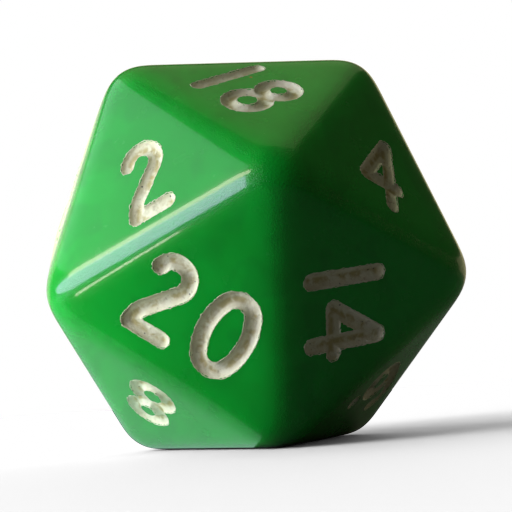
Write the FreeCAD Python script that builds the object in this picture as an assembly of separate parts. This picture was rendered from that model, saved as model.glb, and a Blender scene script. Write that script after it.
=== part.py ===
"""A twenty-sided die: one moulded body with engraved numerals, and the paint that lines each numeral.

The die stands on its face 16. The origin is the middle of that face, +Z is up, and the vertex shared
by faces 20, 2, 18, 4 and 14 points towards -Y. Every length is in millimetres, every angle in degrees.
"""
import FreeCAD, Part
import math
import os
from collections import namedtuple
from FreeCAD import Placement, Rotation, Vector

# Driving dimensions
FACE_TO_FACE = 20.0      # between opposite faces, which is also the die's height
EDGE_ROUNDING = 2.3      # radius of every edge and vertex
GROOVE_WIDTH = 0.75      # of an engraved stroke, at the surface
GROOVE_DEPTH = 0.36
PAINT_THICKNESS = 0.09   # of the paint lining a groove
PAINT_RECESS = 0.04      # from the surface down to the paint's rim
DIGIT_HEIGHT = 3.68      # between the middle lines of a digit's top and bottom strokes

# Proportions of an icosahedron
GOLDEN = (1 + math.sqrt(5)) / 2
EDGE_PER_INRADIUS = 2 * math.sqrt(3) / GOLDEN ** 2
BELT_PER_INRADIUS = 1 / GOLDEN ** 3    # height of the upper middle vertices above the centre
CIRCUMRADIUS_OF_FACE = 1 / math.sqrt(3)  # for an edge of 1

# Worked out from the driving dimensions
INRADIUS = FACE_TO_FACE / 2
CENTRE = Vector(0, 0, INRADIUS)
CUTTER_RADIUS = (GROOVE_WIDTH ** 2 / 4 + GROOVE_DEPTH ** 2) / (2 * GROOVE_DEPTH)
CUTTER_HEIGHT = CUTTER_RADIUS - GROOVE_DEPTH   # of the ball cutter's middle above a face
TOP = DIGIT_HEIGHT / 2
BOTTOM = -TOP

UP = Vector(0, 0, 1)
OFFSET_TOLERANCE = 1e-4
JOINT_TOLERANCE = 1e-6

# For each face: its number, the vertex that its numeral stands up towards and the other two, the
# places of its digits along the line of writing, and the height of their middles on the face. The
# last place of the 6 and of the 9 is their dot's.
Numeral = namedtuple("Numeral", "number apex others places line")
NUMERALS = [
    Numeral(1, "lower_back", ("upper_right", "top_back"), [0.0], -0.2),
    Numeral(2, "top_left", ("lower_left", "upper_front"), [0.2], -0.56),
    Numeral(3, "lower_back", ("bottom_left", "bottom_right"), [0.0], -0.4),
    Numeral(4, "top_right", ("upper_front", "lower_right"), [0.14], -0.47),
    Numeral(5, "top_back", ("top_left", "top_right"), [0.0], -0.4),
    Numeral(6, "bottom_right", ("lower_right", "bottom_front"), [-0.28, 1.75], 0.55),
    Numeral(7, "upper_left", ("top_back", "lower_back"), [0.0], -0.4),
    Numeral(8, "bottom_left", ("bottom_front", "lower_left"), [0.0], 0.0),
    Numeral(9, "upper_right", ("bottom_right", "lower_right"), [-0.28, 1.6], -0.2),
    Numeral(10, "lower_left", ("upper_left", "bottom_left"), [-1.55, 0.75], -0.3),
    Numeral(11, "top_right", ("lower_right", "upper_right"), [-0.85, 0.85], -0.2),
    Numeral(12, "lower_left", ("top_left", "upper_left"), [-1.45, 0.75], -0.3),
    Numeral(13, "top_back", ("upper_right", "top_right"), [-1.4, 0.85], -0.3),
    Numeral(14, "lower_right", ("upper_front", "bottom_front"), [-1.08, 1.4], -0.32),
    Numeral(15, "top_left", ("upper_left", "top_back"), [-1.4, 0.85], -0.3),
    Numeral(16, "bottom_front", ("bottom_left", "bottom_right"), [-1.2, 1.55], -0.3),
    Numeral(17, "bottom_left", ("upper_left", "lower_back"), [-1.4, 0.8], -0.3),
    Numeral(18, "top_right", ("upper_front", "top_left"), [-1.88, 0.85], -0.04),
    Numeral(19, "bottom_right", ("lower_back", "upper_right"), [-1.4, 0.85], -0.3),
    Numeral(20, "upper_front", ("lower_left", "bottom_front"), [-1.63, 1.74], -0.45),
]


def icosahedron_vertices(inradius):
    """The twelve named vertices: a triangle above, two belts of three, and a triangle below."""
    edge = inradius * EDGE_PER_INRADIUS
    end = edge * CIRCUMRADIUS_OF_FACE
    belt = end * GOLDEN
    belt_height = inradius * BELT_PER_INRADIUS
    levels = [
        ("top", end, inradius, {"back": 90, "left": 210, "right": 330}),
        ("upper", belt, belt_height, {"front": 270, "left": 150, "right": 30}),
        ("lower", belt, -belt_height, {"back": 90, "left": 210, "right": 330}),
        ("bottom", end, -inradius, {"front": 270, "left": 150, "right": 30}),
    ]
    vertices = {}
    for level, radius, height, directions in levels:
        for side, angle in directions.items():
            turn = math.radians(angle)
            vertices[f"{level}_{side}"] = CENTRE + Vector(radius * math.cos(turn),
                                                          radius * math.sin(turn), height)
    return vertices


def rounded_icosahedron():
    """An icosahedron smaller by the rounding, grown by a ball of that radius."""
    vertices = icosahedron_vertices(INRADIUS - EDGE_ROUNDING)
    faces = []
    for numeral in NUMERALS:
        corners = [vertices[name] for name in (numeral.apex, *numeral.others)]
        faces.append(Part.Face(Part.makePolygon(corners + corners[:1])))
    core = Part.makeSolid(Part.makeShell(faces))
    if core.Volume < 0:
        core.reverse()
    return core.makeOffsetShape(EDGE_ROUNDING, OFFSET_TOLERANCE)


# A digit is a list of strokes, and a stroke is a list of edges that follow one another. All of them
# are middle lines of strokes, drawn about the digit's own middle.

def line(x_start, y_start, x_end, y_end):
    return Part.makeLine(Vector(x_start, y_start, 0), Vector(x_end, y_end, 0))


def arc(x, y, radius, start, end):
    """An arc drawn anticlockwise from the angle start to the angle end."""
    return Part.makeCircle(radius, Vector(x, y, 0), UP, start, end)


def on_circle(x, y, radius, angle):
    turn = math.radians(angle)
    return x + radius * math.cos(turn), y + radius * math.sin(turn)


def crossing_angles(upper, lower):
    """Where the lines that cross between two circles touch the upper circle, left and right."""
    across, down = lower[0] - upper[0], lower[1] - upper[1]
    heading = math.degrees(math.atan2(down, across))
    spread = math.degrees(math.acos((upper[2] + lower[2]) / math.hypot(across, down)))
    return heading - spread, heading + spread


def crossing_line(upper, lower, angle):
    """The line that touches the upper circle at this angle and the lower one on its other side."""
    return line(*on_circle(*upper, angle), *on_circle(*lower, angle + 180))


def side_radius(half_width, end_radius, rise):
    """Radius of the flat side of an oval that turns into an end of end_radius, rise above it."""
    return (half_width ** 2 + rise ** 2 - end_radius ** 2) / (2 * (half_width - end_radius))


def digit_0(half_width=1.02, end_radius=0.8):
    rise = TOP - end_radius
    side = side_radius(half_width, end_radius, rise)
    reach = side - half_width
    bend = math.degrees(math.atan2(rise, reach))
    return [[arc(-reach, 0, side, -bend, bend), arc(0, rise, end_radius, bend, 180 - bend),
             arc(reach, 0, side, 180 - bend, 180 + bend),
             arc(0, -rise, end_radius, 180 + bend, 360 - bend)]]


def digit_1():
    return [[line(0, TOP, 0, BOTTOM)]]


def digit_2(bowl_radius=0.81, foot_radius=1.5, foot_left=-0.87, foot_right=0.9):
    bowl = (0.02, TOP - bowl_radius, bowl_radius)
    foot = (foot_left + foot_radius, BOTTOM, foot_radius)
    leave = crossing_angles(bowl, foot)[1]
    return [[arc(*bowl, leave, 163), crossing_line(bowl, foot, leave), arc(*foot, leave + 180, 180)],
            [line(foot_left, BOTTOM, foot_right, BOTTOM)]]


def digit_3(upper_radius=0.84, lower_radius=1.0, middle=-0.1, join=-65):
    upper_middle = TOP - upper_radius
    lower_middle = BOTTOM + lower_radius
    return [[arc(middle, upper_middle, upper_radius, join, 155)],
            [arc(middle, lower_middle, lower_radius, -155, 90)]]


def digit_4(stem=0.57, left=-1.07, right=1.07, bar_height=-0.66):
    return [[line(stem, TOP, stem, BOTTOM)],
            [line(stem - 0.08, TOP, left, bar_height)],
            [line(left, bar_height, right, bar_height)]]


def digit_5(bowl_radius=1.12, left=-0.72, right=0.8, bowl_middle=-0.05, leave=137):
    bowl = (bowl_middle, BOTTOM + bowl_radius, bowl_radius)
    return [[line(right, TOP, left, TOP)],
            [line(left, TOP, *on_circle(*bowl, leave))],
            [arc(*bowl, -150, leave)]]


def digit_6(bowl_radius=0.93, tail_radius=0.76, tail_end=38, bowl_end=155):
    bowl_middle = BOTTOM + bowl_radius
    tail_middle = TOP - tail_radius
    side = side_radius(bowl_radius, tail_radius, tail_middle - bowl_middle)
    reach = side - bowl_radius
    bend = math.degrees(math.atan2(tail_middle - bowl_middle, reach))
    return [[arc(0, tail_middle, tail_radius, tail_end, 180 - bend),
             arc(reach, bowl_middle, side, 180 - bend, 180),
             arc(0, bowl_middle, bowl_radius, 180, 360)],
            [arc(0, bowl_middle, bowl_radius, 0, bowl_end)]]


def digit_7(half_width=0.95, foot=-0.4):
    return [[line(-half_width, TOP, half_width, TOP)],
            [line(half_width, TOP, foot, BOTTOM)]]


def digit_8(upper_radius=0.82, lower_radius=0.9):
    upper = (0, TOP - upper_radius, upper_radius)
    lower = (0, BOTTOM + lower_radius, lower_radius)
    left, right = crossing_angles(upper, lower)
    return [[arc(*upper, 90, left + 360), crossing_line(upper, lower, left),
             arc(*lower, -90, left + 180)],
            [arc(*upper, right, 90), crossing_line(upper, lower, right),
             arc(*lower, right - 180, -90)]]


def dot(height=0.24, half_length=0.04):
    return [[line(-half_length, BOTTOM + height, half_length, BOTTOM + height)]]


CHARACTERS = {"0": digit_0, "1": digit_1, "2": digit_2, "3": digit_3, "4": digit_4, "5": digit_5,
              "6": digit_6, "7": digit_7, "8": digit_8, "9": digit_6, ".": dot}
UPSIDE_DOWN = ("9",)   # characters that are another one, turned by half a turn


def path_ends(path):
    """Both ends of an open path, each with the heading in which the path would carry on."""
    ends = []
    for index in (0, -1):
        edge = path.OrderedEdges[index]
        point = path.OrderedVertexes[index].Point
        starts_here = edge.valueAt(edge.FirstParameter).isEqual(point, JOINT_TOLERANCE)
        heading = edge.tangentAt(edge.FirstParameter if starts_here else edge.LastParameter)
        ends.append((point, -heading if starts_here else heading))
    return ends


def sweep(path, radius):
    """A round bar along a path, with flat ends."""
    start, heading = path_ends(path)[0]
    profile = Part.Wire(Part.makeCircle(radius, start, heading))
    return path.makePipeShell([profile], True, False)


def balls_at_ends(paths, radius):
    """A ball at each free end and at each corner, and none where a path carries on in another."""
    ends = [end for path in paths if not path.isClosed() for end in path_ends(path)]
    balls = []
    while ends:
        point, heading = ends.pop()
        here = [end for end in ends if end[0].isEqual(point, JOINT_TOLERANCE)]
        ends = [end for end in ends if end not in here]
        if not any(end[1].isEqual(-heading, JOINT_TOLERANCE) for end in here):
            balls.append(Part.makeSphere(radius, point))
    return balls


def joined(solids):
    return solids[0].multiFuse(solids[1:]) if len(solids) > 1 else solids[0]


def character_cut(character, radius):
    """What a ball of this radius clears when it runs along a character's strokes."""
    paths = [Part.Wire(stroke) for stroke in CHARACTERS[character]()]
    cut = joined([sweep(path, radius) for path in paths] + balls_at_ends(paths, radius))
    return cut.rotated(Vector(), UP, 180) if character in UPSIDE_DOWN else cut


def numeral_cuts(numeral, radius):
    """The cuts of a numeral's characters, on a face that looks up. A 6 and a 9 get a dot at the foot."""
    text = f"{numeral.number}." if numeral.number in (6, 9) else str(numeral.number)
    return [character_cut(character, radius).translated(Vector(place, numeral.line, CUTTER_HEIGHT))
            for character, place in zip(text, numeral.places)]


def paint_solids(grooves, numeral):
    """The lining of each groove, from its floor up to just below the surface."""
    cores = numeral_cuts(numeral, CUTTER_RADIUS - PAINT_THICKNESS)
    reach = 2 * FACE_TO_FACE
    below_rim = Part.makeBox(reach, reach, reach, Vector(-reach / 2, -reach / 2, -PAINT_RECESS - reach))
    return [groove.cut(core).common(below_rim) for groove, core in zip(grooves, cores)]


def face_placement(numeral, vertices):
    """Carries a face that looks up, with its numeral's top towards +Y, to its place on the die."""
    apex = vertices[numeral.apex]
    middle = (apex + vertices[numeral.others[0]] + vertices[numeral.others[1]]) / 3
    outward = (middle - CENTRE).normalize()
    upward = (apex - middle).normalize()
    return Placement(middle, Rotation(upward.cross(outward), upward, outward, "XYZ"))


def export(shape, node):
    shape.exportStep(f"parts/{node}.step")
    box = shape.BoundBox
    print(f"{node}: {len(shape.Solids)} solids, valid {shape.isValid()}, {shape.Volume:.3f} mm3, "
          f"box {box.XLength:.2f} x {box.YLength:.2f} x {box.ZLength:.2f}")


def main():
    os.makedirs("parts", exist_ok=True)
    vertices = icosahedron_vertices(INRADIUS)
    all_grooves = []
    for numeral in NUMERALS:
        placement = face_placement(numeral, vertices)
        grooves = numeral_cuts(numeral, CUTTER_RADIUS)
        paint = Part.makeCompound(paint_solids(grooves, numeral))
        export(paint.transformed(placement.Matrix), f"paint_{numeral.number:02d}")
        all_grooves += [groove.transformed(placement.Matrix) for groove in grooves]
    export(rounded_icosahedron().cut(all_grooves), "die_body")


main()
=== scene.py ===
"""Looks of the twenty-sided die: its moulded body, the paint in its numerals, light, floor and camera.

The body is rebuilt as one fine mesh with round-lipped grooves, and each numeral's paint as a shell
with an uneven edge. Shapes are worked out in millimetres, and made in metres.
"""

import math
from collections import namedtuple

import bpy
import numpy as np
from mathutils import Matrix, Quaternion, Vector, noise
from mathutils.geometry import delaunay_2d_cdt
from mathutils.kdtree import KDTree


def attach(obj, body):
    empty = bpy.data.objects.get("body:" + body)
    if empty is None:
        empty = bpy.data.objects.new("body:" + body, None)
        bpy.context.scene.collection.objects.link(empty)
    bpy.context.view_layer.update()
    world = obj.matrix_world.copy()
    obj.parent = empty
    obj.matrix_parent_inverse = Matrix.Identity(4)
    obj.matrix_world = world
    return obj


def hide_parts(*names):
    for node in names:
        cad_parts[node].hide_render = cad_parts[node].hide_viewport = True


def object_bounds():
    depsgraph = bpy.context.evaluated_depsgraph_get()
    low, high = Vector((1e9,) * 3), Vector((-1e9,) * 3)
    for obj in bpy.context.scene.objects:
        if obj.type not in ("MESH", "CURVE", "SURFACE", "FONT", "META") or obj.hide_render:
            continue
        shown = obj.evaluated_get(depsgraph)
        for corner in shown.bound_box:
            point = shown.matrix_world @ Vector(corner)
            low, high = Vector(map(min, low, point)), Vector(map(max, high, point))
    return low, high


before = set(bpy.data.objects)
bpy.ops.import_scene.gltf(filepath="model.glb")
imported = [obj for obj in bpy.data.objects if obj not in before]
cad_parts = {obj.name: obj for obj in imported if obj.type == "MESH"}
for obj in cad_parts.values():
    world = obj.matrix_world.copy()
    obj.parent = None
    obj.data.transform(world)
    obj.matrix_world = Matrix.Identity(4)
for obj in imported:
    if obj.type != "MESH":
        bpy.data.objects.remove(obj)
cad_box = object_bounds()

MM = 0.001

# The die, in millimetres
FACE_TO_FACE = 1000 * (cad_box[1].z - cad_box[0].z)
EDGE_ROUNDING = 2.15
SOFTENING = 0.9          # how far the rounding of an edge fades into the faces beside it
DIGIT_HEIGHT = 3.68
GROOVE_WIDTH = 0.75
GROOVE_DEPTH = 0.36
LIP_ROUNDING = 0.05

# Proportions of an icosahedron
GOLDEN = (1 + math.sqrt(5)) / 2
EDGE_PER_INRADIUS = 2 * math.sqrt(3) / GOLDEN ** 2
BELT_PER_INRADIUS = 1 / GOLDEN ** 3
HALF_TURN_AT_EDGE = math.acos(math.sqrt(5) / 3) / 2

INRADIUS = FACE_TO_FACE / 2
CENTRE = np.array([0.0, 0.0, INRADIUS])
DIE_CENTRE = Vector((0, 0, (cad_box[0].z + cad_box[1].z) / 2))     # the same place, in metres
FACE_REACH = INRADIUS * EDGE_PER_INRADIUS / math.sqrt(3)   # from a face's middle to its sharp corner
CORE_REACH = FACE_REACH * (1 - EDGE_ROUNDING / INRADIUS)   # to the corner of its flat part
CUTTER_RADIUS = (GROOVE_WIDTH ** 2 / 4 + GROOVE_DEPTH ** 2) / (2 * GROOVE_DEPTH)
CUTTER_HEIGHT = CUTTER_RADIUS - GROOVE_DEPTH
TOP = DIGIT_HEIGHT / 2
BOTTOM = -TOP

Numeral = namedtuple("Numeral", "number apex others places line")
NUMERALS = [
    Numeral(1, "lower_back", ("upper_right", "top_back"), [0.0], -0.2),
    Numeral(2, "top_left", ("lower_left", "upper_front"), [0.2], -0.56),
    Numeral(3, "lower_back", ("bottom_left", "bottom_right"), [0.0], -0.4),
    Numeral(4, "top_right", ("upper_front", "lower_right"), [0.14], -0.47),
    Numeral(5, "top_back", ("top_left", "top_right"), [0.0], -0.4),
    Numeral(6, "bottom_right", ("lower_right", "bottom_front"), [-0.28, 1.75], 0.55),
    Numeral(7, "upper_left", ("top_back", "lower_back"), [0.0], -0.4),
    Numeral(8, "bottom_left", ("bottom_front", "lower_left"), [0.0], 0.0),
    Numeral(9, "upper_right", ("bottom_right", "lower_right"), [-0.28, 1.6], -0.2),
    Numeral(10, "lower_left", ("upper_left", "bottom_left"), [-1.55, 0.75], -0.3),
    Numeral(11, "top_right", ("lower_right", "upper_right"), [-0.85, 0.85], -0.2),
    Numeral(12, "lower_left", ("top_left", "upper_left"), [-1.45, 0.75], -0.3),
    Numeral(13, "top_back", ("upper_right", "top_right"), [-1.4, 0.85], -0.3),
    Numeral(14, "lower_right", ("upper_front", "bottom_front"), [-1.08, 1.4], -0.32),
    Numeral(15, "top_left", ("upper_left", "top_back"), [-1.4, 0.85], -0.3),
    Numeral(16, "bottom_front", ("bottom_left", "bottom_right"), [-1.2, 1.55], -0.3),
    Numeral(17, "bottom_left", ("upper_left", "lower_back"), [-1.4, 0.8], -0.3),
    Numeral(18, "top_right", ("upper_front", "top_left"), [-1.88, 0.85], -0.04),
    Numeral(19, "bottom_right", ("lower_back", "upper_right"), [-1.4, 0.85], -0.3),
    Numeral(20, "upper_front", ("lower_left", "bottom_front"), [-1.63, 1.74], -0.45),
]


# ---------------------------------------------------------------- the middle lines of the strokes

Line = namedtuple("Line", "x_start y_start x_end y_end")
Arc = namedtuple("Arc", "x y radius start end")     # anticlockwise, in degrees


def on_circle(x, y, radius, angle):
    turn = math.radians(angle)
    return x + radius * math.cos(turn), y + radius * math.sin(turn)


def crossing_angles(upper, lower):
    """Where the lines that cross between two circles touch the upper circle, left and right."""
    across, down = lower[0] - upper[0], lower[1] - upper[1]
    heading = math.degrees(math.atan2(down, across))
    spread = math.degrees(math.acos((upper[2] + lower[2]) / math.hypot(across, down)))
    return heading - spread, heading + spread


def crossing_line(upper, lower, angle):
    return Line(*on_circle(*upper, angle), *on_circle(*lower, angle + 180))


def side_radius(half_width, end_radius, rise):
    """Radius of the flat side of an oval that turns into an end of end_radius, rise above it."""
    return (half_width ** 2 + rise ** 2 - end_radius ** 2) / (2 * (half_width - end_radius))


def digit_0(half_width=1.02, end_radius=0.8):
    rise = TOP - end_radius
    side = side_radius(half_width, end_radius, rise)
    reach = side - half_width
    bend = math.degrees(math.atan2(rise, reach))
    return [Arc(-reach, 0, side, -bend, bend), Arc(0, rise, end_radius, bend, 180 - bend),
            Arc(reach, 0, side, 180 - bend, 180 + bend),
            Arc(0, -rise, end_radius, 180 + bend, 360 - bend)]


def digit_1():
    return [Line(0, TOP, 0, BOTTOM)]


def digit_2(bowl_radius=0.81, foot_radius=1.5, foot_left=-0.87, foot_right=0.9):
    bowl = (0.02, TOP - bowl_radius, bowl_radius)
    foot = (foot_left + foot_radius, BOTTOM, foot_radius)
    leave = crossing_angles(bowl, foot)[1]
    return [Arc(*bowl, leave, 163), crossing_line(bowl, foot, leave), Arc(*foot, leave + 180, 180),
            Line(foot_left, BOTTOM, foot_right, BOTTOM)]


def digit_3(upper_radius=0.84, lower_radius=1.0, middle=-0.1, join=-65):
    return [Arc(middle, TOP - upper_radius, upper_radius, join, 155),
            Arc(middle, BOTTOM + lower_radius, lower_radius, -155, 90)]


def digit_4(stem=0.57, left=-1.07, right=1.07, bar_height=-0.66):
    return [Line(stem, TOP, stem, BOTTOM),
            Line(stem - 0.08, TOP, left, bar_height),
            Line(left, bar_height, right, bar_height)]


def digit_5(bowl_radius=1.12, left=-0.72, right=0.8, bowl_middle=-0.05, leave=137):
    bowl = (bowl_middle, BOTTOM + bowl_radius, bowl_radius)
    return [Line(right, TOP, left, TOP),
            Line(left, TOP, *on_circle(*bowl, leave)),
            Arc(*bowl, -150, leave)]


def digit_6(bowl_radius=0.93, tail_radius=0.76, tail_end=38):
    bowl_middle = BOTTOM + bowl_radius
    tail_middle = TOP - tail_radius
    side = side_radius(bowl_radius, tail_radius, tail_middle - bowl_middle)
    reach = side - bowl_radius
    bend = math.degrees(math.atan2(tail_middle - bowl_middle, reach))
    return [Arc(0, tail_middle, tail_radius, tail_end, 180 - bend),
            Arc(reach, bowl_middle, side, 180 - bend, 180),
            Arc(0, bowl_middle, bowl_radius, 0, 360)]


def digit_7(half_width=0.95, foot=-0.4):
    return [Line(-half_width, TOP, half_width, TOP), Line(half_width, TOP, foot, BOTTOM)]


def digit_8(upper_radius=0.82, lower_radius=0.9):
    upper = (0, TOP - upper_radius, upper_radius)
    lower = (0, BOTTOM + lower_radius, lower_radius)
    left, right = crossing_angles(upper, lower)
    return [Arc(*upper, right, left + 360), crossing_line(upper, lower, left),
            crossing_line(upper, lower, right), Arc(*lower, right - 180, left + 180)]


def digit_9():
    """A 6 turned by half a turn."""
    return [Arc(-arc.x, -arc.y, arc.radius, arc.start + 180, arc.end + 180) for arc in digit_6()]


def dot(height=0.24, half_length=0.04):
    return [Line(-half_length, BOTTOM + height, half_length, BOTTOM + height)]


CHARACTERS = {"0": digit_0, "1": digit_1, "2": digit_2, "3": digit_3, "4": digit_4, "5": digit_5,
              "6": digit_6, "7": digit_7, "8": digit_8, "9": digit_9, ".": dot}


def moved(stroke, x, y):
    if isinstance(stroke, Line):
        return Line(stroke.x_start + x, stroke.y_start + y, stroke.x_end + x, stroke.y_end + y)
    return stroke._replace(x=stroke.x + x, y=stroke.y + y)


def numeral_characters(numeral):
    """The strokes of each of a numeral's characters, placed on its face."""
    text = f"{numeral.number}." if numeral.number in (6, 9) else str(numeral.number)
    return [[moved(stroke, place, numeral.line) for stroke in CHARACTERS[character]()]
            for character, place in zip(text, numeral.places)]


def stroke_distance(points, stroke):
    """How far each point is from a stroke's middle line."""
    if isinstance(stroke, Line):
        start = np.array([stroke.x_start, stroke.y_start])
        along = np.array([stroke.x_end, stroke.y_end]) - start
        share = np.clip((points - start) @ along / (along @ along), 0, 1)
        return np.linalg.norm(points - start - share[:, None] * along, axis=1)
    offset = points - np.array([stroke.x, stroke.y])
    radial = np.abs(np.linalg.norm(offset, axis=1) - stroke.radius)
    angle = np.degrees(np.arctan2(offset[:, 1], offset[:, 0]))
    beside = (angle - stroke.start) % 360 <= stroke.end - stroke.start
    circle = (stroke.x, stroke.y, stroke.radius)
    ends = [np.array(on_circle(*circle, end)) for end in (stroke.start, stroke.end)]
    to_ends = np.min([np.linalg.norm(points - end, axis=1) for end in ends], axis=0)
    return np.where(beside, radial, to_ends)


def distance(points, strokes):
    return np.min([stroke_distance(points, stroke) for stroke in strokes], axis=0)


def stroke_points(stroke, spacing):
    """Points along a stroke's middle line."""
    if isinstance(stroke, Line):
        length = math.hypot(stroke.x_end - stroke.x_start, stroke.y_end - stroke.y_start)
        share = np.linspace(0, 1, max(2, round(length / spacing) + 1))[:, None]
        start = np.array([stroke.x_start, stroke.y_start])
        return start + share * (np.array([stroke.x_end, stroke.y_end]) - start)
    length = stroke.radius * math.radians(stroke.end - stroke.start)
    angles = np.radians(np.linspace(stroke.start, stroke.end, max(2, round(length / spacing) + 1)))
    return np.column_stack([stroke.x + stroke.radius * np.cos(angles),
                            stroke.y + stroke.radius * np.sin(angles)])


# ---------------------------------------------------------------- lines of equal height on a face

def settle(points, field, level, rounds=2, step=1e-4, largest=0.02, least_steepness=0.1):
    """Moves points onto the line where a field has this value, in rounds of a small move each."""
    for _ in range(rounds):
        slope = np.column_stack([field(points + [step, 0]) - field(points - [step, 0]),
                                 field(points + [0, step]) - field(points - [0, step])]) / (2 * step)
        steepness = np.maximum((slope ** 2).sum(1), least_steepness)
        move = slope * ((level - field(points)) / steepness)[:, None]
        length = np.linalg.norm(move, axis=1, keepdims=True)
        points = points + move * np.minimum(1, largest / np.maximum(length, 1e-9))
    return points


def level_loops(field, level, low, high, spacing, grid=0.06):
    """The closed lines where a field has this value, as loops of evenly spaced points."""
    xs = np.arange(low[0], high[0] + grid, grid)
    ys = np.arange(low[1], high[1] + grid, grid)
    nodes = np.stack(np.meshgrid(xs, ys, indexing="ij"), axis=-1).reshape(-1, 2)
    values = field(nodes) - level
    index = np.arange(len(nodes)).reshape(len(xs), len(ys))
    corner = [index[:-1, :-1].ravel(), index[1:, :-1].ravel(),
              index[1:, 1:].ravel(), index[:-1, 1:].ravel()]
    triangles = np.concatenate([np.stack(corner[:3], 1), np.stack([corner[0], corner[2], corner[3]], 1)])
    inside = values[triangles] < 0
    crossed = triangles[inside.any(1) & ~inside.all(1)]
    neighbours = {}
    for triangle in crossed.tolist():
        cut = [(min(a, b), max(a, b)) for a, b in zip(triangle, triangle[1:] + triangle[:1])
               if (values[a] < 0) != (values[b] < 0)]
        neighbours.setdefault(cut[0], []).append(cut[1])
        neighbours.setdefault(cut[1], []).append(cut[0])
    loops = []
    while neighbours:
        here = next(iter(neighbours))
        loop = []
        while here is not None:
            loop.append(here)
            ahead = neighbours.pop(here)
            here = next((cut for cut in ahead if cut in neighbours), None)
        a, b = np.array(loop).T
        share = (values[a] / (values[a] - values[b]))[:, None]
        loops.append(even_loop(nodes[a] + share * (nodes[b] - nodes[a]), field, level, spacing))
    return loops


def even_loop(points, field, level, spacing, fewest=8):
    """The same closed line with evenly spaced points."""
    points = settle(points, field, level)
    closed = np.vstack([points, points[:1]])
    along = np.concatenate([[0], np.cumsum(np.linalg.norm(np.diff(closed, axis=0), axis=1))])
    count = max(fewest, round(along[-1] / spacing))
    places = np.arange(count) * along[-1] / count
    even = np.column_stack([np.interp(places, along, closed[:, axis]) for axis in (0, 1)])
    return settle(even, field, level, rounds=1)


def extent(strokes, margin, spacing=0.2):
    """The lowest and highest corners of the strokes' middle lines, with a margin around them."""
    points = np.vstack([stroke_points(stroke, spacing) for stroke in strokes])
    return points.min(0) - margin, points.max(0) + margin


def triangulated(loops, loose, weld=1e-6):
    """The points and triangles of a flat mesh inside the loops, which keeps their edges."""
    points = [Vector(point) for loop in loops for point in loop.tolist()]
    edges = []
    start = 0
    for loop in loops:
        count = len(loop)
        edges += [(start + i, start + (i + 1) % count) for i in range(count)]
        start += count
    points += [Vector(point) for point in loose.tolist()]
    inside_loops = 1
    found, _, triangles, *_ = delaunay_2d_cdt(points, edges, [], inside_loops, weld, False)
    return np.array([point[:] for point in found]), np.array(triangles)


def enclosed(points, loops):
    """Whether each point is inside an odd number of the loops."""
    odd = np.zeros(len(points), bool)
    x, y = points[:, :1], points[:, 1:]
    for loop in loops:
        (x_start, y_start), (x_end, y_end) = loop.T, np.roll(loop, -1, axis=0).T
        passed = (y_start > y) != (y_end > y)
        turn = (x_end - x_start) * (y - y_start) - (x - x_start) * (y_end - y_start)
        crossings = (passed & ((turn > 0) == (y_end > y_start))).sum(1)
        odd ^= crossings % 2 == 1
    return odd


# ---------------------------------------------------------------- from a flat face to the die

def icosahedron_vertices():
    edge = INRADIUS * EDGE_PER_INRADIUS
    end = edge / math.sqrt(3)
    belt = end * GOLDEN
    belt_height = INRADIUS * BELT_PER_INRADIUS
    levels = [
        ("top", end, INRADIUS, {"back": 90, "left": 210, "right": 330}),
        ("upper", belt, belt_height, {"front": 270, "left": 150, "right": 30}),
        ("lower", belt, -belt_height, {"back": 90, "left": 210, "right": 330}),
        ("bottom", end, -INRADIUS, {"front": 270, "left": 150, "right": 30}),
    ]
    vertices = {}
    for level, radius, height, directions in levels:
        for side, angle in directions.items():
            vertices[f"{level}_{side}"] = np.array([*on_circle(0, 0, radius, angle), height])
    return vertices


VERTICES = icosahedron_vertices()


def face_axes(numeral):
    """The directions on the die of a face's right, up and outward."""
    apex = VERTICES[numeral.apex]
    middle = (apex + VERTICES[numeral.others[0]] + VERTICES[numeral.others[1]]) / 3
    outward = middle / np.linalg.norm(middle)
    upward = (apex - middle) / np.linalg.norm(apex - middle)
    return np.array([np.cross(upward, outward), upward, outward])


ALL_FACE_AXES = np.array([face_axes(numeral) for numeral in NUMERALS])


def corners(reach):
    """Three points in a face's plane, this far from its middle, anticlockwise from its top corner."""
    angles = np.radians([90, 210, 330])
    return reach * np.column_stack([np.cos(angles), np.sin(angles)])


def nearest_on_core(points):
    """The nearest point, on the flat part of a face, to each point of the face's plane."""
    core = corners(CORE_REACH)
    inside = np.ones(len(points), bool)
    best = np.full(len(points), np.inf)
    nearest = points.copy()
    for start, end in zip(core, np.roll(core, -1, axis=0)):
        along = end - start
        offset = points - start
        share = np.clip(offset @ along / (along @ along), 0, 1)
        candidate = start + share[:, None] * along
        gap = np.linalg.norm(points - candidate, axis=1)
        inside &= along[0] * offset[:, 1] - along[1] * offset[:, 0] >= 0
        closer = gap < best
        best = np.where(closer, gap, best)
        nearest = np.where(closer[:, None], candidate, nearest)
    return np.where(inside[:, None], points, nearest)


def rounded(points):
    """The nearest points of the die with round edges, from its centre, and its directions there."""
    axes = ALL_FACE_AXES[np.argmax(points @ ALL_FACE_AXES[:, 2].T, axis=1)]
    local = np.einsum("nij,nj->ni", axes, points)
    core_height = np.full(len(points), INRADIUS - EDGE_ROUNDING)
    core = np.column_stack([nearest_on_core(local[:, :2]), core_height])
    outward = local - core
    outward /= np.linalg.norm(outward, axis=1, keepdims=True)
    surface = core + EDGE_ROUNDING * outward
    return np.einsum("nij,ni->nj", axes, surface), np.einsum("nij,ni->nj", axes, outward)


SLANTED = [0.29, 0.53, 0.80]     # any direction will do that the surface has at no point of the mesh

# Rings of points around each point for the mean: their radius, how many points, and each one's weight
SOFTENING_RINGS = [(SOFTENING / 2, 6, 1.0), (SOFTENING, 12, 0.5)]


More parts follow.
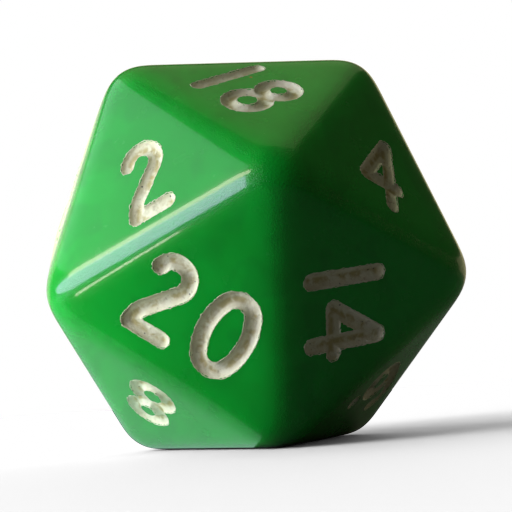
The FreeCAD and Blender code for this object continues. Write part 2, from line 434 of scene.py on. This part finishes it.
def softened(points):
    """The same for the moulded die, whose round edges fade into its faces: a mean over a small disc."""
    surface, outward = rounded(points)
    beside = np.cross(outward, SLANTED)
    beside /= np.linalg.norm(beside, axis=1, keepdims=True)
    above = np.cross(outward, beside)
    places, directions, total = surface.copy(), outward.copy(), 1
    for reach, count, weight in SOFTENING_RINGS:
        for angle in np.arange(count) * 2 * math.pi / count:
            shifted = surface + reach * (math.cos(angle) * beside + math.sin(angle) * above)
            place, direction = rounded(shifted)
            places += weight * place
            directions += weight * direction
            total += weight
    return places / total, directions / np.linalg.norm(directions, axis=1, keepdims=True)


def on_die(points, height, axes):
    """Puts points of a face's plane on the die, raised by height: places in metres, and directions."""
    plane = np.column_stack([points, np.full(len(points), INRADIUS)]) @ axes
    surface, outward = softened(plane)
    return MM * (CENTRE + surface + outward * height[:, None]), outward


def tilted(outward, points, height_at, axes, step=0.004):
    """The surface's directions once the height over the face is added."""
    for axis, shift in zip(axes, np.eye(2) * step):
        slope = (height_at(points + shift) - height_at(points - shift)) / (2 * step)
        outward = outward - slope[:, None] * axis
    return outward / np.linalg.norm(outward, axis=1, keepdims=True)


# ---------------------------------------------------------------- the moulded body

WALL_ANGLE = math.acos((CUTTER_HEIGHT + LIP_ROUNDING) / CUTTER_RADIUS)
WALL_REACH = CUTTER_RADIUS * math.sin(WALL_ANGLE)   # from the middle line to where the lip starts
LIP_REACH = WALL_REACH + LIP_ROUNDING


def groove_height(gap):
    """Height of the body's surface at this distance from a stroke's middle line."""
    floor = CUTTER_HEIGHT - np.sqrt(CUTTER_RADIUS ** 2 - np.minimum(gap, WALL_REACH) ** 2)
    from_lip_end = LIP_REACH - np.clip(gap, WALL_REACH, LIP_REACH)
    lip = np.sqrt(np.maximum(LIP_ROUNDING ** 2 - from_lip_end ** 2, 0)) - LIP_ROUNDING
    return np.where(gap < WALL_REACH, floor, lip)


def groove_levels(wall_steps=5, lip_steps=3):
    """Distances from the middle line at which the groove's mesh has a row of points."""
    wall = CUTTER_RADIUS * np.sin(np.linspace(0, WALL_ANGLE, wall_steps + 1)[1:])
    lip = WALL_REACH + LIP_ROUNDING * (1 - np.cos(np.linspace(0, math.pi / 2, lip_steps + 1)[1:]))
    return np.concatenate([wall, lip])


def offset_core(gap, spacing):
    """Points along the line this far outside the flat part of a face, or inside it if negative."""
    core = corners(CORE_REACH + 2 * min(gap, 0))
    gap = max(gap, 0)
    points = []
    for index, corner in enumerate(core):
        middle_angle = math.radians(90 + 120 * index)
        count = max(1, round(gap * 2 * math.pi / 3 / spacing))
        for angle in middle_angle + np.radians(np.linspace(-60, 60, count + 1)):
            points.append(corner + gap * np.array([math.cos(angle), math.sin(angle)]))
        following = core[(index + 1) % 3]
        side_angle = middle_angle + math.radians(60)
        shift = gap * np.array([math.cos(side_angle), math.sin(side_angle)])
        count = round(np.linalg.norm(following - corner) / spacing)
        for share in np.arange(1, count) / count:
            points.append(corner + share * (following - corner) + shift)
    return np.array(points)


def inside_face(points, margin):
    """Whether points lie in a face's sharp triangle, this far from its sides."""
    directions = -corners(1.0)
    return np.all(points @ directions.T <= FACE_REACH / 2 - margin, axis=1)


BORDER_BULGE = 0.05      # how much a face's sides are bent outwards while its triangles are made


def face_mesh(numeral, side_count=60, spacing=0.11, row_gap=0.146, row_spacing=0.25, clear=0.1,
              side_clear=0.06, margin=0.15):
    """Places, directions, share of the edges' rounding and triangles of one face, out to its sides."""
    characters = numeral_characters(numeral)
    strokes = sum(characters, [])

    sharp = corners(FACE_REACH)
    share = (np.arange(side_count) / side_count)[:, None]
    border = np.vstack([a + share * (b - a) for a, b in zip(sharp, np.roll(sharp, -1, axis=0))])
    # One long edge could pass over points in a straight row, so the sides are bent until it is done.
    bulge = 1 + BORDER_BULGE * np.tile(share * (1 - share), (3, 1))
    loops = [border * bulge]
    for character in characters:
        low, high = extent(character, LIP_REACH + margin)
        for level in groove_levels():
            loops += level_loops(lambda points: distance(points, character), level, low, high, spacing)

    rows = np.vstack([offset_core(gap, row_spacing)
                      for gap in np.arange(-SOFTENING, FACE_REACH - CORE_REACH, row_gap)])
    rows = rows[inside_face(rows, side_clear) & (distance(rows, strokes) > LIP_REACH + clear)]
    middles = np.vstack([stroke_points(stroke, spacing) for stroke in strokes])
    points, triangles = triangulated(loops, np.vstack([rows, middles]))
    points[:len(border)] = border

    def height_at(places):
        return groove_height(distance(places, strokes))

    axes = face_axes(numeral)
    places, outward = on_die(points, height_at(points), axes)
    rounding = (1 - outward @ axes[2]) / (1 - math.cos(HALF_TURN_AT_EDGE))
    return places, tilted(outward, points, height_at, axes), rounding, triangles


def new_object(name, points, triangles):
    mesh = bpy.data.meshes.new(name)
    mesh.from_pydata(points.tolist(), [], triangles.tolist())
    mesh.update()
    mesh.shade_smooth()
    obj = bpy.data.objects.new(name, mesh)
    bpy.context.scene.collection.objects.link(obj)
    return obj


def weld_map(points, gap=1e-7):
    """For each point, the first point in the same place."""
    places = points.tolist()
    tree = KDTree(len(places))
    for index, place in enumerate(places):
        tree.insert(place, index)
    tree.balance()
    return np.array([min(found[1] for found in tree.find_range(place, gap)) for place in places])


def add_attribute(obj, name, values):
    attribute = obj.data.attributes.new(name, "FLOAT", "POINT")
    attribute.data.foreach_set("value", values.astype(np.float32))


def make_body():
    """The body in one mesh, its twenty faces joined along their sides."""
    faces = [face_mesh(numeral) for numeral in NUMERALS]
    points, normals, rounding = (np.concatenate([face[part] for face in faces]) for part in range(3))
    starts = np.cumsum([0] + [len(face[0]) for face in faces])
    triangles = np.vstack([face[3] + start for face, start in zip(faces, starts)])
    kept, renumbered = np.unique(weld_map(points), return_inverse=True)
    body = new_object("moulded_body", points[kept], renumbered[triangles])
    body.data.normals_split_custom_set_from_vertices(normals[kept].tolist())
    add_attribute(body, "rounding", np.clip(rounding[kept], 0, 1))
    return body


# ---------------------------------------------------------------- the paint

PAINT_HALF_WIDTH = 0.405
PAINT_BEAD = 0.04        # from its very edge, just under the body's surface, to where it stands proud
PAINT_RIM = 0.02         # how far it stands proud there
PAINT_SLOPE = 0.2        # from there to where it is as thick as along the groove's floor
PAINT_FLOOR = 0.075      # how much thicker it is there than at the rim
PAINT_ROOT = 0.03        # how far it reaches into the body
PAINT_SHOULDER = 0.36    # the distance from the middle line of a row of points just inside the bead

Noise = namedtuple("Noise", "height size seed")
OUTLINE_NOISE = [Noise(0.05, 0.3, 0), Noise(0.09, 0.13, 5)]
SURFACE_NOISE = [Noise(0.03, 0.35, 11), Noise(0.015, 0.12, 17)]


def noise_at(points, size, seed):
    """Smooth noise from -1 to 1 whose lumps are about this size, at points of a face."""
    return np.array([noise.noise(Vector((x / size, y / size, seed))) for x, y in points.tolist()])


def paint_mesh(strokes, seed, edge_spacing=0.035, spacing=0.08, margin=0.2):
    """Points, heights over the face, and triangles of one character's paint, as a closed shell."""
    def edge_field(points):
        ragged = sum(layer.height * abs(noise_at(points, layer.size, seed + layer.seed))
                     for layer in OUTLINE_NOISE)
        return distance(points, strokes) - ragged

    low, high = extent(strokes, PAINT_HALF_WIDTH + margin)
    outline = level_loops(edge_field, PAINT_HALF_WIDTH, low, high, edge_spacing)
    inner = level_loops(edge_field, PAINT_HALF_WIDTH - PAINT_BEAD, low, high, edge_spacing)
    for level in (*groove_levels()[:4], PAINT_SHOULDER):
        inner += level_loops(lambda points: distance(points, strokes), level, low, high, spacing)
    middles = np.vstack([stroke_points(stroke, spacing) for stroke in strokes])
    points, triangles = triangulated(outline + inner, middles)
    triangles = triangles[enclosed(points[triangles].mean(1), outline)]

    from_edge = PAINT_HALF_WIDTH - edge_field(points)
    bead = np.clip(from_edge / PAINT_BEAD, 0, 1) * (PAINT_RIM + PAINT_ROOT / 2) - PAINT_ROOT / 2
    inward = np.clip((from_edge - PAINT_BEAD) / PAINT_SLOPE, 0, 1)
    inward = inward * inward * (3 - 2 * inward)
    lumps = sum(layer.height * noise_at(points, layer.size, seed + layer.seed) for layer in SURFACE_NOISE)
    body = groove_height(distance(points, strokes))
    top = body + bead + inward * (PAINT_FLOOR + lumps)
    return closed_shell(points, top, body - PAINT_ROOT, triangles)


def closed_shell(points, top, bottom, triangles):
    """A flat mesh made into a shell: its points and triangles twice, at two heights, joined by walls."""
    used, triangles = np.unique(triangles, return_inverse=True)
    triangles = triangles.reshape(-1, 3)
    points, top, bottom = points[used], top[used], bottom[used]
    count = len(points)
    sides = triangles[:, [0, 1, 1, 2, 2, 0]].reshape(-1, 2)
    present = set(map(tuple, sides.tolist()))
    rim = np.array([side for side in present if (side[1], side[0]) not in present])
    walls = np.vstack([np.column_stack([rim[:, 1], rim[:, 0], rim[:, 0] + count]),
                       np.column_stack([rim[:, 1], rim[:, 0] + count, rim[:, 1] + count])])
    return (np.vstack([points, points]), np.concatenate([top, bottom]),
            np.vstack([triangles, triangles[:, ::-1] + count, walls]))


def make_paint(numeral):
    """The paint of one numeral, with a closed shell for each character."""
    points, hollows, triangles = [], [], []
    for index, strokes in enumerate(numeral_characters(numeral)):
        flat, height, shell = paint_mesh(strokes, 3.7 * numeral.number + 1.3 * index)
        triangles.append(shell + sum(len(part) for part in points))
        points.append(on_die(flat, height, face_axes(numeral))[0])
        hollows.append(np.clip(1 - distance(flat, strokes) / PAINT_HALF_WIDTH, 0, 1))
    paint = new_object(f"numeral_{numeral.number:02d}", np.vstack(points), np.vstack(triangles))
    add_attribute(paint, "hollow", np.concatenate(hollows))
    return paint


# ---------------------------------------------------------------- materials

GREEN = (0.0, 0.335, 0.022, 1)
BRIGHT_GREEN = (0.0, 0.385, 0.028, 1)
DARK_GREEN = (0.0, 0.24, 0.02, 1)
DUST = (0.45, 0.22, 0.03, 1)
PAINT = (0.78, 0.80, 0.63, 1)
DIRTY_PAINT = (0.47, 0.42, 0.18, 1)
SMUDGED_PAINT = (0.42, 0.40, 0.26, 1)
CHIPPED_PAINT = (0.10, 0.10, 0.09, 1)


def add_node(tree, kind, values=None, **settings):
    """A shader node with these settings, and these values or links on its inputs."""
    made = tree.nodes.new("ShaderNode" + kind)
    for name, value in settings.items():
        setattr(made, name, value)
    for socket, value in (values or {}).items():
        if isinstance(value, bpy.types.NodeSocket):
            tree.links.new(value, made.inputs[socket])
        else:
            made.inputs[socket].default_value = value
    return made


def place_on_object(tree, turn=(0, 0, 0), stretch=(1, 1, 1)):
    """Places on the object in millimetres, turned and stretched."""
    coordinates = add_node(tree, "TexCoord").outputs["Object"]
    scale = tuple(factor / MM for factor in stretch)
    turn = tuple(math.radians(angle) for angle in turn)
    values = {"Vector": coordinates, "Rotation": turn, "Scale": scale}
    return add_node(tree, "Mapping", values).outputs[0]


def noise_value(tree, place, size, detail=2.0, distortion=0.0):
    """Noise from 0 to 1 with lumps of about this size, in millimetres."""
    values = {"Vector": place, "Scale": 1 / size, "Detail": detail, "Distortion": distortion}
    return add_node(tree, "TexNoise", values).outputs["Fac"]


def ramp(tree, value, start, end, low=0.0, high=1.0):
    """The value, eased from low at start to high at end."""
    values = {"Value": value, "From Min": start, "From Max": end, "To Min": low, "To Max": high}
    return add_node(tree, "MapRange", values, interpolation_type="SMOOTHSTEP").outputs[0]


def arithmetic(tree, operation, first, second):
    return add_node(tree, "Math", {0: first, 1: second}, operation=operation).outputs[0]


def blend_colours(tree, factor, first, second):
    """The first colour where the factor is 0, and the second where it is 1."""
    values = {0: factor, 6: first, 7: second}
    return add_node(tree, "Mix", values, data_type="RGBA").outputs[2]


def specks(tree, place, spacing, radius, share):
    """1 on small round specks, in this share of the cells, and 0 elsewhere."""
    cells = add_node(tree, "TexVoronoi", {"Vector": place, "Scale": 1 / spacing})
    near = ramp(tree, cells.outputs["Distance"], radius / spacing, 0.6 * radius / spacing)
    chosen = add_node(tree, "SeparateColor", {0: cells.outputs["Color"]}).outputs[0]
    return arithmetic(tree, "MULTIPLY", near, arithmetic(tree, "LESS_THAN", chosen, share))


def scratches(tree, turn, size, share):
    """1 along fine straight scratches that run one way, and 0 elsewhere."""
    place = place_on_object(tree, turn, (1.0, 0.03, 1.0))
    return ramp(tree, noise_value(tree, place, size, detail=1.0), 1 - share, 1 - 0.6 * share)


def new_material(name):
    material = bpy.data.materials.new(name)
    material.use_nodes = True
    material.node_tree.nodes.clear()
    return material, material.node_tree


def finish_material(tree, values):
    shader = add_node(tree, "BsdfPrincipled", values)
    add_node(tree, "OutputMaterial", {"Surface": shader.outputs[0]})


def bumped(tree, height, depth, under=None):
    """Surface directions for a relief of this depth, in millimetres."""
    values = {"Height": height, "Distance": depth * MM}
    if under is not None:
        values["Normal"] = under
    return add_node(tree, "Bump", values).outputs[0]


def plastic_material():
    """Glossy green plastic with faint swirls from moulding, a fine grain and a few scratches."""
    material, tree = new_material("green_plastic")
    place = place_on_object(tree)

    flow = noise_value(tree, place_on_object(tree, (25, 40, 0), (1, 0.25, 1)), 4.0, 2, 1.2)
    colour = blend_colours(tree, ramp(tree, flow, 0.3, 0.7), GREEN, BRIGHT_GREEN)
    wisps = noise_value(tree, place_on_object(tree, (0, 55, 20), (1, 0.10, 1)), 1.6, 1, 0.5)
    colour = blend_colours(tree, ramp(tree, wisps, 0.50, 0.68, 0, 0.3), colour, DARK_GREEN)
    dust = specks(tree, place, 3.5, 0.09, 0.12)
    colour = blend_colours(tree, dust, colour, DUST)

    wear = noise_value(tree, place, 1.4, 4)
    roughness = ramp(tree, wear, 0.3, 0.7, 0.20, 0.28)
    sparkle = ramp(tree, noise_value(tree, place, 0.06, 2), 0.42, 0.62, 0.05, 0.16)

    rounding = add_node(tree, "Attribute", attribute_name="rounding").outputs["Fac"]
    rubbed = ramp(tree, rounding, 0.0, 0.6, 0.1, 1.0)
    grain = arithmetic(tree, "MULTIPLY", noise_value(tree, place, 0.07, 3), rubbed)
    marks = arithmetic(tree, "MAXIMUM", scratches(tree, (10, 35, 60), 0.11, 0.2),
                       scratches(tree, (70, -20, 15), 0.13, 0.2))
    normal = bumped(tree, grain, 0.028)
    normal = bumped(tree, marks, -0.0015, normal)
    finish_material(tree, {"Base Color": colour, "Roughness": roughness, "Normal": normal,
                           "Specular IOR Level": 0.18, "Coat Weight": 0.7, "Coat Roughness": sparkle,
                           "Subsurface Weight": 0.25, "Subsurface Radius": (0.4, 1.0, 0.5),
                           "Subsurface Scale": 1.5 * MM})
    return material


def paint_material():
    """Matt off-white paint, dirty in its hollows and specked where it has chipped."""
    material, tree = new_material("numeral_paint")
    place = place_on_object(tree)
    hollow = add_node(tree, "Attribute", attribute_name="hollow").outputs["Fac"]

    stain = noise_value(tree, place, 0.55, 3, 0.6)
    deep = ramp(tree, hollow, 0.35, 0.95)
    dirt = arithmetic(tree, "MULTIPLY", ramp(tree, stain, 0.36, 0.59), ramp(tree, deep, 0, 1, 0.2, 0.9))
    colour = blend_colours(tree, dirt, PAINT, DIRTY_PAINT)
    smudge = ramp(tree, noise_value(tree, place, 0.22, 2, 0.8), 0.58, 0.74, 0, 0.5)
    colour = blend_colours(tree, smudge, colour, SMUDGED_PAINT)
    chips = specks(tree, place, 0.30, 0.05, 0.15)
    colour = blend_colours(tree, chips, colour, CHIPPED_PAINT)

    grain = noise_value(tree, place, 0.07, 3)
    lumps = noise_value(tree, place, 0.2, 2)
    normal = bumped(tree, lumps, 0.04)
    normal = bumped(tree, grain, 0.02, normal)
    finish_material(tree, {"Base Color": colour, "Roughness": 0.75, "Normal": normal,
                           "Specular IOR Level": 0.35})
    return material


# ---------------------------------------------------------------- floor, light and camera

def towards(azimuth, elevation):
    """A direction from the die: azimuth 0 is -Y, the front, and 90 is +X, its right."""
    turn, rise = math.radians(azimuth), math.radians(elevation)
    return Vector((math.sin(turn) * math.cos(rise), -math.cos(turn) * math.cos(rise), math.sin(rise)))


def area_light(name, wide, high, brightness, colour, lights=True, reflected=True):
    """A soft rectangular light of this size, in metres, that the camera doesn't see."""
    data = bpy.data.lights.new(name, "AREA")
    data.shape = "RECTANGLE"
    data.size, data.size_y = wide, high
    data.energy = math.pi * data.size * data.size_y * brightness
    data.color = colour
    light = bpy.data.objects.new(name, data)
    light.visible_camera = False
    light.visible_diffuse = lights
    light.visible_glossy = reflected
    bpy.context.scene.collection.objects.link(light)
    return light


def make_light(name, azimuth, elevation, wide, high, brightness, colour, distance=0.25, roll=0, **kinds):
    """A light that faces the die, as wide and high as these angles seen from it."""
    wide, high = (2 * distance * math.tan(math.radians(angle) / 2) for angle in (wide, high))
    light = area_light(name, wide, high, brightness, colour, **kinds)
    direction = towards(azimuth, elevation)
    light.location = DIE_CENTRE + distance * direction
    light.rotation_mode = "QUATERNION"
    turned = Quaternion((0, 0, 1), math.radians(roll))
    light.rotation_quaternion = direction.to_track_quat("Z", "Y") @ turned


def make_table_glow(name, x, brightness, colour, y=0.024, wide=0.09, deep=0.062, **kinds):
    """Light from the lit table beside the die and behind it, where the die throws no shadow."""
    light = area_light(name, wide, deep, brightness, colour, **kinds)
    light.location = (x, y, cad_box[0].z + 0.1 * MM)
    light.rotation_euler.x = math.pi


def make_lights():
    """A window on the die's left, and the dimmer room and table around it."""
    # The window is two lights, one that only lights and one that is only reflected. They are at
    # different distances, because two lights in the same place hide each other.
    make_light("window_light", -78, 8, 50, 26, 3.6, (0.97, 0.92, 1.40), 0.28, 27, reflected=False)
    make_light("window", -72, 8, 50, 26, 7.3, (0.97, 0.92, 1.45), roll=27, lights=False)
    make_light("top_of_window", -64, 29.5, 30, 7, 12.0, (1.0, 0.84, 0.70), roll=30)
    make_light("foot_of_window", -50, -9, 18, 2.6, 16.0, (1.0, 0.92, 0.75), 0.036, 35)
    make_light("wall", -99, 41, 60, 28, 1.4, (0.75, 1.0, 1.0))
    make_light("ceiling", 180, 67, 70, 36, 0.27, (0.9, 0.9, 0.5))
    make_light("behind_left", -155, 8, 50, 40, 0.8, (1.0, 0.96, 0.85))
    make_light("behind", 165, 22, 50, 25, 0.65, (0.95, 0.9, 0.45))
    make_light("behind_right", 122, 0, 50, 30, 0.5, (1.0, 0.85, 0.5))
    make_light("near_fill", -72, -8, 30, 50, 4.4, (0.92, 1.0, 0.84), 0.024, reflected=False)
    make_light("above_left", -80, 56, 60, 40, 0.75, (0.9, 1.0, 0.7), reflected=False)
    make_light("rear_fill", 145, 15, 50, 40, 1.3, (1.0, 0.97, 0.85), reflected=False)
    make_table_glow("table_glow_left", -0.046, 0.50, (0.6, 1.0, 0.85))
    make_table_glow("table_glow_right", 0.056, 0.20, (1.0, 0.9, 0.6), reflected=False)


def make_floor(half_size=1.5):
    """A plain floor that shows the pale backdrop and the die's shadow on it. To the die's bounce light
    and reflections it is dark grey, painted shade that keeps the die's lower sides dark.
    """
    corners_of_floor = np.array([(-1, -1, 0), (1, -1, 0), (1, 1, 0), (-1, 1, 0)]) * half_size
    floor = new_object("floor", corners_of_floor, np.array([(0, 1, 2), (0, 2, 3)]))
    floor.location.z = cad_box[0].z
    floor.is_shadow_catcher = True
    material, tree = new_material("floor")
    # Dark grey, seen only in the die's bounce light and reflections: painted shade for the die's sides
    # that face the floor.
    finish_material(tree, {"Base Color": (0.10, 0.10, 0.10, 1), "Roughness": 1.0})
    floor.data.materials.append(material)


def make_world():
    """A pale backdrop, which gives only a little light."""
    world = bpy.data.worlds.new("studio")
    world.use_nodes = True
    tree = world.node_tree
    tree.nodes.clear()
    seen = add_node(tree, "Background", {"Color": (1, 1, 1, 1), "Strength": 1.0})
    fill = add_node(tree, "Background", {"Color": (1, 0.80, 0.55, 1), "Strength": 0.042})
    seen_directly = add_node(tree, "LightPath").outputs["Is Camera Ray"]
    either = add_node(tree, "MixShader", {0: seen_directly, 1: fill.outputs[0], 2: seen.outputs[0]})
    add_node(tree, "OutputWorld", {"Surface": either.outputs[0]})
    bpy.context.scene.world = world


def make_camera(lens=72.8, azimuth=-8.0, elevation=-7.8, distance=56.4, roll=-4.2,
                aim=(0.50, -0.08, 0.09)):
    """A camera close to the die, a little below its middle, with aim measured from there."""
    data = bpy.data.cameras.new("camera")
    data.lens = lens
    data.clip_start = MM
    camera = bpy.data.objects.new("camera", data)
    back = towards(azimuth, elevation)
    camera.location = DIE_CENTRE + Vector(aim) * MM + distance * MM * back
    camera.rotation_mode = "QUATERNION"
    turned = Quaternion((0, 0, 1), math.radians(roll))
    camera.rotation_quaternion = back.to_track_quat("Z", "Y") @ turned
    bpy.context.scene.collection.objects.link(camera)
    bpy.context.scene.camera = camera


body = make_body()
body.data.materials.append(plastic_material())
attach(body, "root")
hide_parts("die_body")

paint_finish = paint_material()
for numeral in NUMERALS:
    paint = make_paint(numeral)
    paint.data.materials.append(paint_finish)
    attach(paint, "root")
    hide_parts(f"paint_{numeral.number:02d}")

make_floor()
make_world()
make_lights()
make_camera()
bpy.context.scene.view_settings.view_transform = "Standard"
